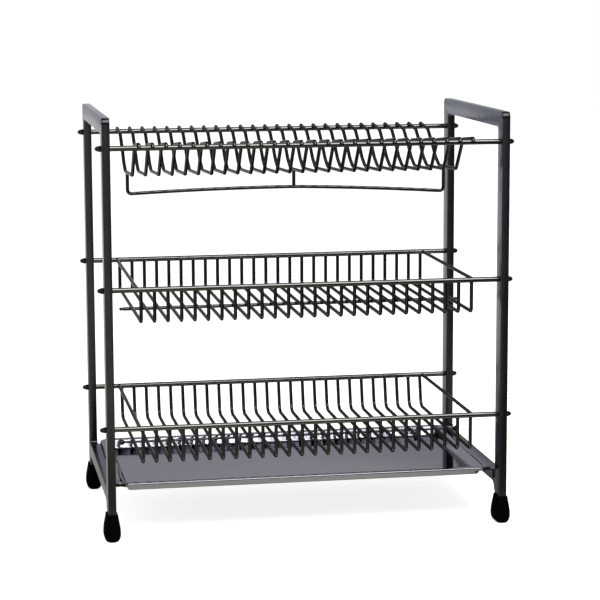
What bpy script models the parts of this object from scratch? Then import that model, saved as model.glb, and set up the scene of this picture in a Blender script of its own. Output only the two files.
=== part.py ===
"""Three-tier plate rack: two tube side frames, six rods, three tiers of bent wires and a drip tray.

Run with: blender --background --python part.py
Metres, +Z up. The rods run along X, the front faces -Y and the feet stand on Z = 0.
The origin is the middle of the rack's footprint.
"""

import math

import bmesh
import bpy
from mathutils import Matrix, Vector

# Whole rack
FRAME_WIDTH = 0.609
FRAME_HEIGHT = 0.629
LEG_SPACING = 0.335

# Fits between neighbouring pieces, and how far a cutter runs past the face that it cuts
CLEARANCE = 0.0003
OVERRUN = 0.005
# How far welded wires run into each other, and the distance at which a mesh's doubled points merge
WELD_DEPTH = 0.0010
MERGE_DISTANCE = 0.00001

# Side frames: rectangular tube, flat across X
TUBE_WIDTH = 0.012
LEG_DEPTH = 0.027
TOP_BAR_HEIGHT = 0.024
TUBE_WALL = 0.0012
TUBE_EDGE = 0.0010
OUTER_CORNER_RADIUS = 0.008
INNER_CORNER_RADIUS = 0.005
LEG_END_HEIGHT = 0.006
CORNER_STEPS = 3

# Lower crossbars, with a weld gusset at each end
LOWER_BAR_TOP = 0.078
LOWER_BAR_HEIGHT = 0.020
FRONT_GUSSET_RADIUS = 0.013
REAR_GUSSET_RADIUS = 0.016
TOP_GUSSET_RADIUS = 0.006
GUSSET_LIP = 0.0010
GUSSET_STEPS = 3

# Angles welded to the crossbars, which carry the drip tray
RUNNER_LEDGE = 0.009
RUNNER_FLANGE = 0.014
RUNNER_THICKNESS = 0.0015
RUNNER_SETBACK = 0.006

# Rubber boots on the leg ends
FOOT_HEIGHT = 0.0415
FOOT_SLEEVE_WALL = 0.0020
FOOT_SIDE_BULGE = 0.0042
FOOT_END_BULGE = 0.0032
FOOT_CORNER_SHARE = 0.72
FOOT_CORNER_STEPS = 2
# Height share, then how much of the bulge the boot has there
FOOT_BULGE_SHARES = (
    (0.0, 0.05),
    (0.06, 0.62),
    (0.16, 0.92),
    (0.32, 1.0),
    (0.52, 0.86),
    (0.85, 0.25),
    (1.0, 0.0),
)

# Rods, each with a shoulder against the legs and a thinner stud through them
ROD_RADIUS = 0.004
STUD_RADIUS = 0.0025
STUD_OVERHANG = 0.006
TOP_ROD_INSET = 0.045
BOTTOM_ROD_RISE = 0.090
ROD_SIDES = 12
STUD_BORE_SIDES = 8

# Acorn nuts outside the legs
CAP_NUT_RADIUS = 0.0045
CAP_NUT_LENGTH = 0.0097
CAP_NUT_SIDES = 8
# Radius share, then length share from the seat, down the outer side
CAP_NUT_SHARES = ((0.0, 1.0), (0.52, 0.93), (0.86, 0.64), (1.0, 0.40), (1.0, 0.0))

# Cradle wires, spaced evenly between the frames
WIRE_RADIUS = 0.0019
WIRE_COUNT = 26
WIRE_ROW_MARGIN = 0.0425
WIRE_BEND_RADIUS = 0.005
BEND_STEPS = 1
HOOK_STEPS = 2

# Top cradle, hooked over both rods with a shoulder at each side of its trough
TOP_CRADLE_DROP = 0.053
# Share of the way from the rear rod to the front rod, then share of the drop
TOP_CRADLE_SHARES = (
    (0.148, 0.02),
    (0.250, 0.47),
    (0.305, 0.77),
    (0.380, 1.0),
    (0.714, 1.0),
    (0.806, 0.17),
    (0.827, 0.0),
)

# Middle cradle, a square trough
MIDDLE_CRADLE_DROP = 0.048

# Bottom cradle, a trough whose floor climbs towards the back
BOTTOM_CRADLE_DROP = 0.051
BOTTOM_REAR_DROP = 0.035
BOTTOM_SLOPE_RUN = 0.072

# Wires along the two lower tiers, each with a swollen end
MIDDLE_KEEL_OVERHANG = 0.018
MIDDLE_BULB_RADIUS = 0.0026
MIDDLE_BULB_LENGTH = 0.006
BOTTOM_KEEL_OVERHANG = 0.022
BOTTOM_BULB_RADIUS = 0.0044
BOTTOM_BULB_LENGTH = 0.011
# Share of the bulb's length from its tip, then share of its radius
BULB_SHARES = ((0.0, 0.45), (0.18, 0.86), (0.45, 1.0), (0.75, 0.80))

# Hanging rail under the top cradle
RAIL_END_DROP = 0.032
RAIL_MIDDLE_DROP = 0.026
RAIL_SETBACK = 0.012
RAIL_BEND_RADIUS = 0.006
RAIL_BOW_STEPS = 6
RAIL_HANGER_WIRE = 13

# Drip tray, pressed from sheet
TRAY_SIDE_GAP = 0.0035
TRAY_END_SETBACK = 0.0075
TRAY_SHEET = 0.0008
TRAY_LIP = 0.005
TRAY_FLANGE = 0.012
TRAY_PAN_DEPTH = 0.014
TRAY_WALL_RUN = 0.007
TRAY_CORNER_RADIUS = 0.020
TRAY_FOLD = 0.0015
TRAY_CORNER_STEPS = 3

# Places that follow from the sizes above
FRAME_CENTRE_X = (FRAME_WIDTH - TUBE_WIDTH) / 2
FRAME_INNER_X = FRAME_WIDTH / 2 - TUBE_WIDTH
ROD_Y = LEG_SPACING / 2
LEG_INNER_Y = (LEG_SPACING - LEG_DEPTH) / 2
TOP_ROD_HEIGHT = FRAME_HEIGHT - TOP_ROD_INSET
BOTTOM_ROD_HEIGHT = LOWER_BAR_TOP + BOTTOM_ROD_RISE
TIER_HEIGHTS = {
    "top": TOP_ROD_HEIGHT,
    "middle": (TOP_ROD_HEIGHT + BOTTOM_ROD_HEIGHT) / 2,
    "bottom": BOTTOM_ROD_HEIGHT,
}
ROW_SIDES = {"front": -1, "rear": 1}
FRAME_SIDES = {"left": -1, "right": 1}
END_WIRE_X = FRAME_INNER_X - WIRE_ROW_MARGIN
WIRE_PITCH = END_WIRE_X * 2 / (WIRE_COUNT - 1)


def clear_scene():
    """Remove every object that the file starts with."""
    for old in list(bpy.data.objects):
        bpy.data.objects.remove(old, do_unlink=True)


def new_collection(name):
    """A collection under the scene's own."""
    collection = bpy.data.collections.new(name)
    bpy.context.scene.collection.children.link(collection)
    return collection


def new_material(name, colour, metallic, roughness):
    """A Principled material with one colour."""
    material = bpy.data.materials.new(name)
    material.use_nodes = True
    shader = material.node_tree.nodes["Principled BSDF"]
    shader.inputs["Base Color"].default_value = (*colour, 1.0)
    shader.inputs["Metallic"].default_value = metallic
    shader.inputs["Roughness"].default_value = roughness
    return material


def finish_part(obj, collection, material):
    """Put a piece into its collection and give it its material."""
    collection.objects.link(obj)
    obj.data.materials.clear()
    obj.data.materials.append(material)
    return obj


def as_tool(obj, collection):
    """Keep an object only as the tool of a Boolean cut or join."""
    collection.objects.link(obj)
    obj.hide_render = True
    obj.display_type = "WIRE"
    return obj


def cut(obj, cutter):
    """Take the cutter's volume out of a piece."""
    modifier = obj.modifiers.new("cut_" + cutter.name, "BOOLEAN")
    modifier.operation = "DIFFERENCE"
    modifier.solver = "EXACT"
    modifier.object = cutter


def weld(obj, welded):
    """Join another piece's volume to a piece."""
    modifier = obj.modifiers.new("weld_" + welded.name, "BOOLEAN")
    modifier.operation = "UNION"
    modifier.solver = "EXACT"
    modifier.object = welded


def corner_radius(clear_radius, sides):
    """Corner radius of a regular polygon whose flats stay at the clear radius."""
    return clear_radius / math.cos(math.pi / sides)


def arc(centre, radius, start, end, steps):
    """Points of an arc in a plane, from one angle in degrees to another."""
    points = []
    for step in range(steps + 1):
        angle = math.radians(start + (end - start) * step / steps)
        points.append((centre[0] + radius * math.cos(angle), centre[1] + radius * math.sin(angle)))
    return points


def rounded_path(points, radius, steps):
    """A path with an arc of the given radius at each of its inner corners."""
    path = [Vector(points[0])]
    for before, corner, after in zip(points, points[1:], points[2:]):
        back = (Vector(before) - Vector(corner)).normalized()
        ahead = (Vector(after) - Vector(corner)).normalized()
        half_angle = back.angle(ahead) / 2
        tangent = radius / math.tan(half_angle)
        centre = Vector(corner) + (back + ahead).normalized() * radius / math.sin(half_angle)
        first = (Vector(corner) + back * tangent - centre).normalized()
        last = (Vector(corner) + ahead * tangent - centre).normalized()
        for step in range(steps + 1):
            path.append(centre + first.slerp(last, step / steps) * radius)
    path.append(Vector(points[-1]))
    return path


def curve_to_mesh(curve_object):
    """Turn a curve object into a closed mesh object at the same place."""
    bpy.context.scene.collection.objects.link(curve_object)
    bpy.context.view_layer.update()
    evaluated = curve_object.evaluated_get(bpy.context.evaluated_depsgraph_get())
    mesh = bpy.data.meshes.new_from_object(evaluated)
    solid = bmesh.new()
    solid.from_mesh(mesh)
    bmesh.ops.remove_doubles(solid, verts=solid.verts, dist=MERGE_DISTANCE)
    bmesh.ops.recalc_face_normals(solid, faces=solid.faces)
    solid.to_mesh(mesh)
    solid.free()
    name = curve_object.name
    matrix = curve_object.matrix_world.copy()
    bpy.data.objects.remove(curve_object, do_unlink=True)
    obj = bpy.data.objects.new(name, mesh)
    obj.matrix_world = matrix
    return obj


def extruded_outline(name, outline, thickness, along, edge=0.0):
    """A flat outline given a thickness along X or Y, with its edges broken by the given width."""
    curve = bpy.data.curves.new(name, "CURVE")
    curve.dimensions = "2D"
    curve.fill_mode = "BOTH"
    curve.extrude = thickness / 2 - edge
    curve.bevel_depth = edge
    curve.bevel_resolution = 0
    spline = curve.splines.new("POLY")
    spline.points.add(len(outline) - 1)
    for point, place in zip(spline.points, outline):
        point.co = (place[0], place[1], 0, 1)
    spline.use_cyclic_u = True
    curve_object = bpy.data.objects.new(name, curve)
    turn = math.pi / 2 if along == "X" else 0
    curve_object.rotation_euler = (math.pi / 2, 0, turn)
    return curve_to_mesh(curve_object)


def wire_object(name, paths, radius, resolution=1, radii=None):
    """A group of round wires along paths of points, all of one radius unless radii says otherwise."""
    curve = bpy.data.curves.new(name, "CURVE")
    curve.dimensions = "3D"
    curve.fill_mode = "FULL"
    curve.bevel_depth = radius
    curve.bevel_resolution = resolution
    curve.use_fill_caps = True
    for path in paths:
        spline = curve.splines.new("POLY")
        spline.points.add(len(path) - 1)
        for index, place in enumerate(path):
            spline.points[index].co = (*place, 1)
            if radii:
                spline.points[index].radius = radii[index] / radius
    return bpy.data.objects.new(name, curve)


def cylinder_mesh(name, centres, radius, length, sides):
    """Cylinders along X about the given centres, in one mesh."""
    mesh = bpy.data.meshes.new(name)
    solid = bmesh.new()
    for centre in centres:
        bmesh.ops.create_cone(
            solid,
            cap_ends=True,
            segments=sides,
            radius1=radius,
            radius2=radius,
            depth=length,
            matrix=Matrix.Translation(centre) @ Matrix.Rotation(math.pi / 2, 4, "Y"),
        )
    solid.to_mesh(mesh)
    solid.free()
    mesh.shade_smooth()
    mesh.set_sharp_from_angle(angle=math.radians(40))
    return mesh


def box_object(name, centre, size):
    """A box about a centre."""
    mesh = bpy.data.meshes.new(name)
    solid = bmesh.new()
    bmesh.ops.create_cube(solid, size=1.0, matrix=Matrix.Diagonal((*size, 1.0)))
    solid.to_mesh(mesh)
    solid.free()
    obj = bpy.data.objects.new(name, mesh)
    obj.location = centre
    return obj


def turned_mesh(name, profile, sides, closed):
    """A profile of radius and height, turned about Z into a mesh."""
    mesh = bpy.data.meshes.new(name)
    edges = [(index, index + 1) for index in range(len(profile) - 1)]
    if closed:
        edges.append((len(profile) - 1, 0))
    mesh.from_pydata([(radius, 0, height) for radius, height in profile], edges, [])
    obj = bpy.data.objects.new(name, mesh)
    bpy.context.scene.collection.objects.link(obj)
    screw = obj.modifiers.new("turn", "SCREW")
    screw.axis = "Z"
    screw.steps = sides
    screw.render_steps = sides
    screw.use_merge_vertices = True
    screw.merge_threshold = MERGE_DISTANCE
    bpy.context.view_layer.update()
    evaluated = obj.evaluated_get(bpy.context.evaluated_depsgraph_get())
    turned = bpy.data.meshes.new_from_object(evaluated)
    bpy.data.objects.remove(obj, do_unlink=True)
    turned.shade_smooth()
    turned.set_sharp_from_angle(angle=math.radians(35))
    return turned


def rounded_rectangle(half_x, half_y, radius, height, steps):
    """A level ring of points around a rectangle with round corners, counter-clockwise from above."""
    ring = []
    for quarter, (side_x, side_y) in enumerate(((1, 1), (-1, 1), (-1, -1), (1, -1))):
        centre = (side_x * (half_x - radius), side_y * (half_y - radius))
        start = 90 * quarter
        ring.extend((x, y, height) for x, y in arc(centre, radius, start, start + 90, steps))
    return ring


def loft_mesh(name, rings, close_first):
    """Skin from ring to ring, closed over the last ring and, if asked, over the first."""
    mesh = bpy.data.meshes.new(name)
    solid = bmesh.new()
    loops = [[solid.verts.new(place) for place in ring] for ring in rings]
    for lower, upper in zip(loops, loops[1:]):
        for index in range(len(lower)):
            following = (index + 1) % len(lower)
            solid.faces.new((lower[index], lower[following], upper[following], upper[index]))
    solid.faces.new(loops[-1])
    if close_first:
        solid.faces.new(reversed(loops[0]))
    solid.to_mesh(mesh)
    solid.free()
    mesh.shade_smooth()
    mesh.set_sharp_from_angle(angle=math.radians(50))
    return mesh


def frame_outline(inset, end_height):
    """Outline of the inverted U in Y and Z, drawn in from its outer faces by the inset."""
    outer_y = (LEG_SPACING + LEG_DEPTH) / 2 - inset
    inner_y = (LEG_SPACING - LEG_DEPTH) / 2 + inset
    top = FRAME_HEIGHT - inset
    under = FRAME_HEIGHT - TOP_BAR_HEIGHT + inset
    outer_radius = OUTER_CORNER_RADIUS - inset
    inner_radius = INNER_CORNER_RADIUS + inset
    outline = [(outer_y, end_height)]
    outline += arc((outer_y - outer_radius, top - outer_radius), outer_radius, 0, 90, CORNER_STEPS)
    outline += arc((outer_radius - outer_y, top - outer_radius), outer_radius, 90, 180, CORNER_STEPS)
    outline += [(-outer_y, end_height), (-inner_y, end_height)]
    outline += arc((inner_radius - inner_y, under - inner_radius), inner_radius, 180, 90, CORNER_STEPS)
    outline += arc((inner_y - inner_radius, under - inner_radius), inner_radius, 90, 0, CORNER_STEPS)
    outline.append((inner_y, end_height))
    return outline


def make_side_frames(parts, cutters, material):
    """The two inverted U frames of tube, drilled in line for the studs and open at the leg ends."""
    rod_places = [(0, side * ROD_Y, height) for side in ROW_SIDES.values() for height in TIER_HEIGHTS.values()]
    bore_radius = corner_radius(STUD_RADIUS + CLEARANCE, STUD_BORE_SIDES)
    bore_mesh = cylinder_mesh("stud_bores", rod_places, bore_radius, FRAME_WIDTH + OVERRUN, STUD_BORE_SIDES)
    bores = as_tool(bpy.data.objects.new("stud_bores", bore_mesh), cutters)
    for side_name, side in FRAME_SIDES.items():
        outline = frame_outline(TUBE_EDGE, LEG_END_HEIGHT + TUBE_EDGE)
        frame = extruded_outline("side_frame_" + side_name, outline, TUBE_WIDTH, "X", TUBE_EDGE)
        frame.location.x = side * FRAME_CENTRE_X
        finish_part(frame, parts, material)
        inside = frame_outline(TUBE_WALL, LEG_END_HEIGHT - OVERRUN)
        hollow = extruded_outline("hollow_" + side_name, inside, TUBE_WIDTH - TUBE_WALL * 2, "X")
        hollow.location.x = side * FRAME_CENTRE_X
        cut(frame, as_tool(hollow, cutters))
        cut(frame, bores)


def crossbar_outline():
    """Outline of a lower crossbar in Y and Z, with its gussets against the legs."""
    end = LEG_INNER_Y - CLEARANCE
    top = LOWER_BAR_TOP
    under = LOWER_BAR_TOP - LOWER_BAR_HEIGHT
    front = -end + GUSSET_LIP
    rear = end - GUSSET_LIP
    front_centre = (front + FRONT_GUSSET_RADIUS, under - FRONT_GUSSET_RADIUS)
    rear_centre = (rear - REAR_GUSSET_RADIUS, under - REAR_GUSSET_RADIUS)
    top_centre = (rear - TOP_GUSSET_RADIUS, top + TOP_GUSSET_RADIUS)
    outline = [(-end, top), (-end, under - FRONT_GUSSET_RADIUS)]
    outline += arc(front_centre, FRONT_GUSSET_RADIUS, 180, 90, GUSSET_STEPS)
    outline += arc(rear_centre, REAR_GUSSET_RADIUS, 90, 0, GUSSET_STEPS)
    outline += [(end, under - REAR_GUSSET_RADIUS), (end, top + TOP_GUSSET_RADIUS)]
    outline += arc(top_centre, TOP_GUSSET_RADIUS, 0, -90, GUSSET_STEPS)
    return outline


def tray_runner(side_name, side):
    """An angle along a crossbar's inner face, whose ledge carries the tray's lip."""
    back = FRAME_INNER_X + WELD_DEPTH
    tip = FRAME_INNER_X - RUNNER_LEDGE
    web = FRAME_INNER_X - RUNNER_THICKNESS
    top = LOWER_BAR_TOP
    under_ledge = top - RUNNER_THICKNESS
    flange_end = top - RUNNER_FLANGE
    corners = (
        (back, top),
        (tip, top),
        (tip, under_ledge),
        (web, under_ledge),
        (web, flange_end),
        (back, flange_end),
    )
    outline = [(side * x, z) for x, z in corners]
    length = LEG_INNER_Y * 2 - RUNNER_SETBACK * 2
    return extruded_outline("tray_runner_" + side_name, outline, length, "Y")


def make_lower_crossbars(parts, cutters, material):
    """The tubes between the legs, low down on each side, each with its tray runner."""
    bore_size = (
        TUBE_WIDTH - TUBE_WALL * 2,
        LEG_SPACING,
        LOWER_BAR_HEIGHT - TUBE_WALL * 2,
    )
    for side_name, side in FRAME_SIDES.items():
        crossbar = extruded_outline("lower_crossbar_" + side_name, crossbar_outline(), TUBE_WIDTH, "X")
        crossbar.location.x = side * FRAME_CENTRE_X
        finish_part(crossbar, parts, material)
        middle = (side * FRAME_CENTRE_X, 0, LOWER_BAR_TOP - LOWER_BAR_HEIGHT / 2)
        hollow = box_object("crossbar_hollow_" + side_name, middle, bore_size)
        cut(crossbar, as_tool(hollow, cutters))
        weld(crossbar, as_tool(tray_runner(side_name, side), cutters))


def make_feet(parts, material):
    """A rubber boot over each leg end: a bulb outside and a close socket inside."""
    socket_x = TUBE_WIDTH / 2 + CLEARANCE
    socket_y = LEG_DEPTH / 2 + CLEARANCE
    socket_floor = LEG_END_HEIGHT - CLEARANCE
    rings = []
    for height_share, bulge_share in FOOT_BULGE_SHARES:
        half_x = socket_x + FOOT_SLEEVE_WALL + FOOT_SIDE_BULGE * bulge_share
        half_y = socket_y + FOOT_SLEEVE_WALL + FOOT_END_BULGE * bulge_share
        radius = half_x * FOOT_CORNER_SHARE
        height = FOOT_HEIGHT * height_share
        rings.append(rounded_rectangle(half_x, half_y, radius, height, FOOT_CORNER_STEPS))
    for height in (FOOT_HEIGHT, socket_floor):
        rings.append(rounded_rectangle(socket_x, socket_y, TUBE_EDGE / 2, height, FOOT_CORNER_STEPS))
    mesh = loft_mesh("foot", rings, close_first=True)
    for row_name, row in ROW_SIDES.items():
        for side_name, side in FRAME_SIDES.items():
            foot = bpy.data.objects.new("foot_" + row_name + "_" + side_name, mesh)
            foot.location = (side * FRAME_CENTRE_X, row * ROD_Y, 0)
            finish_part(foot, parts, material)


def make_rods(parts, material):
    """The six rods between the frames, with a stud at each end that goes through a leg."""
    shoulder = FRAME_INNER_X - CLEARANCE
    tip = FRAME_WIDTH / 2 + STUD_OVERHANG
    half = [(0, tip), (STUD_RADIUS, tip), (STUD_RADIUS, shoulder), (ROD_RADIUS, shoulder)]
    profile = half + [(radius, -along) for radius, along in reversed(half)]
    mesh = turned_mesh("rod", profile, ROD_SIDES, closed=False)
    for tier_name, height in TIER_HEIGHTS.items():
        for row_name, row in ROW_SIDES.items():
            rod = bpy.data.objects.new("rod_" + tier_name + "_" + row_name, mesh)
            rod.location = (0, row * ROD_Y, height)
            rod.rotation_euler.y = math.pi / 2
            finish_part(rod, parts, material)


def make_cap_nuts(parts, material):
    """Blind domed nuts on the studs, seated on the frames' outer faces."""
    bore = corner_radius(STUD_RADIUS + CLEARANCE, CAP_NUT_SIDES)
    profile = [(CAP_NUT_RADIUS * across, CAP_NUT_LENGTH * along) for across, along in CAP_NUT_SHARES]
    profile += [(bore, 0), (bore, STUD_OVERHANG), (0, STUD_OVERHANG)]
    mesh = turned_mesh("cap_nut", profile, CAP_NUT_SIDES, closed=False)
    seat_x = FRAME_WIDTH / 2 + CLEARANCE
    for tier_name, height in TIER_HEIGHTS.items():
        for row_name, row in ROW_SIDES.items():
            for side_name, side in FRAME_SIDES.items():
                nut = bpy.data.objects.new("_".join(("cap_nut", tier_name, row_name, side_name)), mesh)
                nut.location = (side * seat_x, row * ROD_Y, height)
                nut.rotation_euler.y = side * math.pi / 2
                finish_part(nut, parts, material)


def hook_points(rod_y, rod_height, start):
    """A wire's quarter turn around a rod, whose straight steps all clear the rod."""
    radius = corner_radius(ROD_RADIUS + WIRE_RADIUS + CLEARANCE, HOOK_STEPS * 4)
    return arc((rod_y, rod_height), radius, start, start + 90, HOOK_STEPS)


def top_cradle_profile():
    """The top wire in Y and Z, from its rear hook to its front hook."""
    height = TIER_HEIGHTS["top"]
    trough = []
    for depth_share, drop_share in TOP_CRADLE_SHARES:
        trough.append((ROD_Y - LEG_SPACING * depth_share, height - TOP_CRADLE_DROP * drop_share))
    return hook_points(ROD_Y, height, 0) + trough + hook_points(-ROD_Y, height, 90)


def middle_cradle_profile():
    """The middle wire in Y and Z, a square U hung from the undersides of both rods."""
    height = TIER_HEIGHTS["middle"]
    end = height - ROD_RADIUS - CLEARANCE
    floor = height - MIDDLE_CRADLE_DROP
    corners = ((ROD_Y, end, 0), (ROD_Y, floor, 0), (-ROD_Y, floor, 0), (-ROD_Y, end, 0))
    return [point[:2] for point in rounded_path(corners, WIRE_BEND_RADIUS, BEND_STEPS)]


def bottom_cradle_profile():
    """The bottom wire in Y and Z, a U whose floor slopes up to its rear leg."""
    height = TIER_HEIGHTS["bottom"]
    end = height - ROD_RADIUS - CLEARANCE
    floor = height - BOTTOM_CRADLE_DROP
    corners = (
        (ROD_Y, end, 0),
        (ROD_Y, height - BOTTOM_REAR_DROP, 0),
        (ROD_Y - BOTTOM_SLOPE_RUN, floor, 0),
        (-ROD_Y, floor, 0),
        (-ROD_Y, end, 0),
    )
    return [point[:2] for point in rounded_path(corners, WIRE_BEND_RADIUS, BEND_STEPS)]


def wire_x(index):
    """Where a wire of a row stands, counted from the left."""
    return WIRE_PITCH * index - END_WIRE_X


def make_top_wires(parts, material):
    """The top tier's bent wires, each hooked over the front and rear rods."""
    path = [(0, y, z) for y, z in top_cradle_profile()]
    bent = wire_object("top_wire_01", [path], WIRE_RADIUS)
    for index in range(WIRE_COUNT):
        wire = bent
        if index:
            wire = bpy.data.objects.new("top_wire_%02d" % (index + 1), bent.data)
        wire.location.x = wire_x(index)
        finish_part(wire, parts, material)


def make_tie_wires(parts, material):
    """Straight wires from rod to rod just outside the end wires of the two lower tiers."""
    tie_x = END_WIRE_X + WIRE_RADIUS * 2 + CLEARANCE
    end_y = ROD_Y - ROD_RADIUS - CLEARANCE
    for tier_name in ("middle", "bottom"):
        height = TIER_HEIGHTS[tier_name]
        for side_name, side in FRAME_SIDES.items():
            path = [(side * tie_x, end_y, height), (side * tie_x, -end_y, height)]
            tie = wire_object(tier_name + "_tie_" + side_name, [path], WIRE_RADIUS)
            finish_part(tie, parts, material)


def make_keeled_cradle(parts, cutters, material, tier_name, profile, drop, overhang, bulb_radius, bulb_length):
    """A row of wires welded to a keel wire that runs along under them, with a swollen end each way."""
    height = TIER_HEIGHTS[tier_name] - drop - WIRE_RADIUS * 2 + WELD_DEPTH
    tip_x = END_WIRE_X + overhang
    left_end = [(bulb_length * along - tip_x, bulb_radius * across) for along, across in BULB_SHARES]
    left_end.append((bulb_length - tip_x, WIRE_RADIUS))
    stations = left_end + [(-x, radius) for x, radius in reversed(left_end)]
    path = [(x, 0, height) for x, radius in stations]
    radii = [radius for x, radius in stations]
    keel = curve_to_mesh(wire_object(tier_name + "_cradle", [path], WIRE_RADIUS, radii=radii))
    finish_part(keel, parts, material)
    row = [[(wire_x(index), y, z) for y, z in profile] for index in range(WIRE_COUNT)]
    wires = curve_to_mesh(wire_object(tier_name + "_wires", row, WIRE_RADIUS))
    weld(keel, as_tool(wires, cutters))


def rail_height(x):
    """Height of the hanging rail's centre line, which bows up a little at the middle."""
    cradle_floor = TIER_HEIGHTS["top"] - TOP_CRADLE_DROP
    bow = (RAIL_END_DROP - RAIL_MIDDLE_DROP) * (1 - (x / END_WIRE_X) ** 2)
    return cradle_floor - RAIL_END_DROP + bow


def make_hanging_rail(parts, cutters, material):
    """A long rail under the top cradle, turned up to the end wires and held at one wire between."""
    wire_underside = TIER_HEIGHTS["top"] - TOP_CRADLE_DROP - WIRE_RADIUS - CLEARANCE
    end_places = []
    for side in (-1, 1):
        x = side * END_WIRE_X
        end_places.append([(x, RAIL_SETBACK, wire_underside), (x, RAIL_SETBACK, rail_height(x))])
    places = list(end_places[0])
    for step in range(1, RAIL_BOW_STEPS):
        x = END_WIRE_X * (2 * step / RAIL_BOW_STEPS - 1)
        places.append((x, RAIL_SETBACK, rail_height(x)))
    places += reversed(end_places[1])
    left_bend = rounded_path(places[:3], RAIL_BEND_RADIUS, BEND_STEPS)[:-1]
    right_bend = rounded_path(places[-3:], RAIL_BEND_RADIUS, BEND_STEPS)[1:]
    rail_path = left_bend + places[2:-2] + right_bend
    rail = curve_to_mesh(wire_object("hanging_rail", [rail_path], WIRE_RADIUS))
    finish_part(rail, parts, material)
    hanger_x = wire_x(RAIL_HANGER_WIRE)
    ends = [(hanger_x, RAIL_SETBACK, wire_underside), (hanger_x, RAIL_SETBACK, rail_height(hanger_x))]
    hanger = curve_to_mesh(wire_object("rail_hanger", [ends], WIRE_RADIUS))
    weld(rail, as_tool(hanger, cutters))


def make_drip_tray(parts, material):
    """A pressed pan with a flat flange and a turned-down lip, which slides on the runners."""
    half_x = FRAME_INNER_X - TRAY_SIDE_GAP
    half_y = ROD_Y - TRAY_END_SETBACK
    flange_inset = TRAY_FLANGE
    floor_inset = TRAY_FLANGE + TRAY_WALL_RUN
    floor_height = TRAY_LIP - TRAY_PAN_DEPTH
    # How far each ring is drawn in from the lip, and its height above the runners
    stations = (
        (0.0, 0.0),
        (0.0, TRAY_LIP - TRAY_FOLD),
        (TRAY_FOLD, TRAY_LIP),
        (flange_inset - TRAY_FOLD, TRAY_LIP),
        (flange_inset, TRAY_LIP - TRAY_FOLD),
        (floor_inset, floor_height + TRAY_FOLD),
        (floor_inset + TRAY_FOLD, floor_height),
    )
    rings = []
    for inset, height in stations:
        radius = max(TRAY_CORNER_RADIUS - inset, TRAY_FOLD)
        rings.append(rounded_rectangle(half_x - inset, half_y - inset, radius, height, TRAY_CORNER_STEPS))
    tray = bpy.data.objects.new("drip_tray", loft_mesh("drip_tray", rings, close_first=False))
    tray.location.z = LOWER_BAR_TOP + CLEARANCE
    sheet = tray.modifiers.new("sheet", "SOLIDIFY")
    sheet.thickness = TRAY_SHEET
    sheet.offset = -1
    sheet.use_even_offset = True
    finish_part(tray, parts, material)


def main():
    """Model the whole rack."""
    clear_scene()
    parts = new_collection("plate_rack")
    cutters = new_collection("cutters")
    frame_steel = new_material("frame_steel", (0.20, 0.20, 0.22), 1.0, 0.30)
    rod_steel = new_material("rod_steel", (0.45, 0.45, 0.46), 1.0, 0.16)
    wire_steel = new_material("wire_steel", (0.32, 0.32, 0.33), 1.0, 0.18)
    nut_steel = new_material("nut_steel", (0.30, 0.30, 0.32), 1.0, 0.22)
    tray_steel = new_material("tray_steel", (0.44, 0.43, 0.50), 1.0, 0.22)
    foot_rubber = new_material("foot_rubber", (0.012, 0.012, 0.012), 0.0, 0.60)
    make_side_frames(parts, cutters, frame_steel)
    make_lower_crossbars(parts, cutters, frame_steel)
    make_feet(parts, foot_rubber)
    make_rods(parts, rod_steel)
    make_cap_nuts(parts, nut_steel)
    make_top_wires(parts, wire_steel)
    make_keeled_cradle(
        parts,
        cutters,
        wire_steel,
        "middle",
        middle_cradle_profile(),
        MIDDLE_CRADLE_DROP,
        MIDDLE_KEEL_OVERHANG,
        MIDDLE_BULB_RADIUS,
        MIDDLE_BULB_LENGTH,
    )
    make_keeled_cradle(
        parts,
        cutters,
        wire_steel,
        "bottom",
        bottom_cradle_profile(),
        BOTTOM_CRADLE_DROP,
        BOTTOM_KEEL_OVERHANG,
        BOTTOM_BULB_RADIUS,
        BOTTOM_BULB_LENGTH,
    )
    make_tie_wires(parts, wire_steel)
    make_hanging_rail(parts, cutters, wire_steel)
    make_drip_tray(parts, tray_steel)


main()
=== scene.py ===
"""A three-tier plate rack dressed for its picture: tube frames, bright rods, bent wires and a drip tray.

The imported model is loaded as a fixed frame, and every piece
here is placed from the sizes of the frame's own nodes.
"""

import math

import bmesh
import bpy
from mathutils import Matrix, Vector


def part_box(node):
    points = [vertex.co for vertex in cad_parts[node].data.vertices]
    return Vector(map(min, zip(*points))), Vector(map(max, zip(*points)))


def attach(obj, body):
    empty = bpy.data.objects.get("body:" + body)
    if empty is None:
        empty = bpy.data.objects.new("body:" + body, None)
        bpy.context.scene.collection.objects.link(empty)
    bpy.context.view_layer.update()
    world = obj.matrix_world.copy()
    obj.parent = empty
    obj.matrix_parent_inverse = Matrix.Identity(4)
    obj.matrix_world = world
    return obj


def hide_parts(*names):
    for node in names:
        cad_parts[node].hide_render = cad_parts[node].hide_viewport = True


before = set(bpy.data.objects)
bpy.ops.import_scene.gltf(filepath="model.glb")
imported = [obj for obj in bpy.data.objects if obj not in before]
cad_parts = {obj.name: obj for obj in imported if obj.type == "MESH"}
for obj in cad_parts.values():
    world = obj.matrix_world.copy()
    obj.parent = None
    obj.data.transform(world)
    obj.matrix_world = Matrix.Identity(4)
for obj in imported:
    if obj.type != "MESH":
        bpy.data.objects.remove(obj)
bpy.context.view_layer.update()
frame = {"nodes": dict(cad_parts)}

bl_info = {
    "name": "Plate Rack",
    "version": (1, 0, 0),
    "blender": (4, 5, 0),
    "location": "3D View > Sidebar > Plate Rack",
    "description": "Smooth steel pieces, finishes and a plain studio for a three-tier plate rack",
    "category": "Object",
}

TIERS = ("top", "middle", "bottom")
ROWS = ("front", "rear")
# Each side and its sign along X
SIDES = {"left": -1, "right": 1}
TOP_WIRES = sorted(name for name in frame["nodes"] if name.startswith("top_wire_"))


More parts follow.
